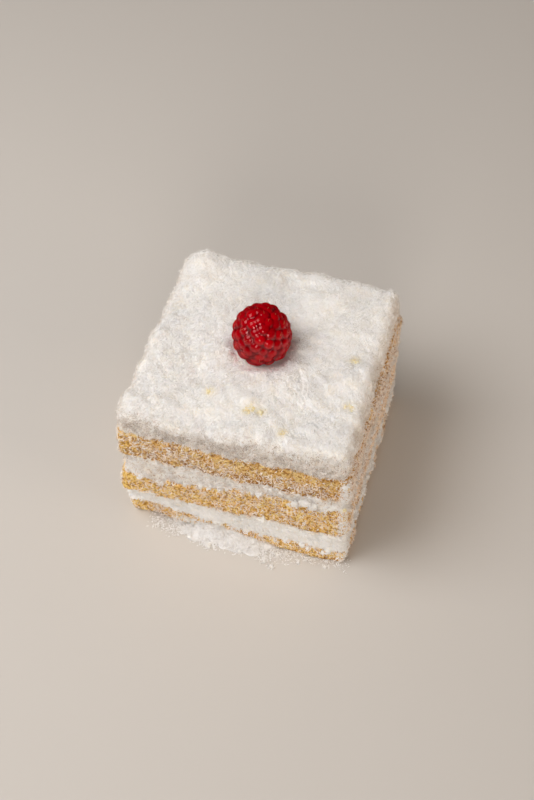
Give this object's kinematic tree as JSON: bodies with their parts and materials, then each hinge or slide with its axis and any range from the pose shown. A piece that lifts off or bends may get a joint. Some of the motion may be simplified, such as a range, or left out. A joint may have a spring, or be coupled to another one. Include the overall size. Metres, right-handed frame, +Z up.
{
  "type": "coconut layer cake",
  "caption": "Square piece of layer cake: sponge and cream in turn under a thick cream top, covered in shredded coconut, with a raspberry in the middle.",
  "frame": {"origin": "middle of the flat base", "axes": "+Z up, -Y out of the cut face that shows the layers best, +X to the right seen from that face"},
  "size_m": [0.0807, 0.0792, 0.0739],
  "materials": {
    "sponge": "matt, open golden crumb",
    "cream": "soft matt white",
    "coconut": "matt white shreds over cream",
    "raspberry": "wet gloss over deep red"
  },
  "bodies": {
    "root": {"sponge_bottom": "sponge", "cream_lower": "cream", "sponge_middle": "sponge", "cream_upper": "cream", "sponge_top": "sponge", "cream_top": "coconut", "raspberry": "raspberry"}
  },
  "joints": []
}
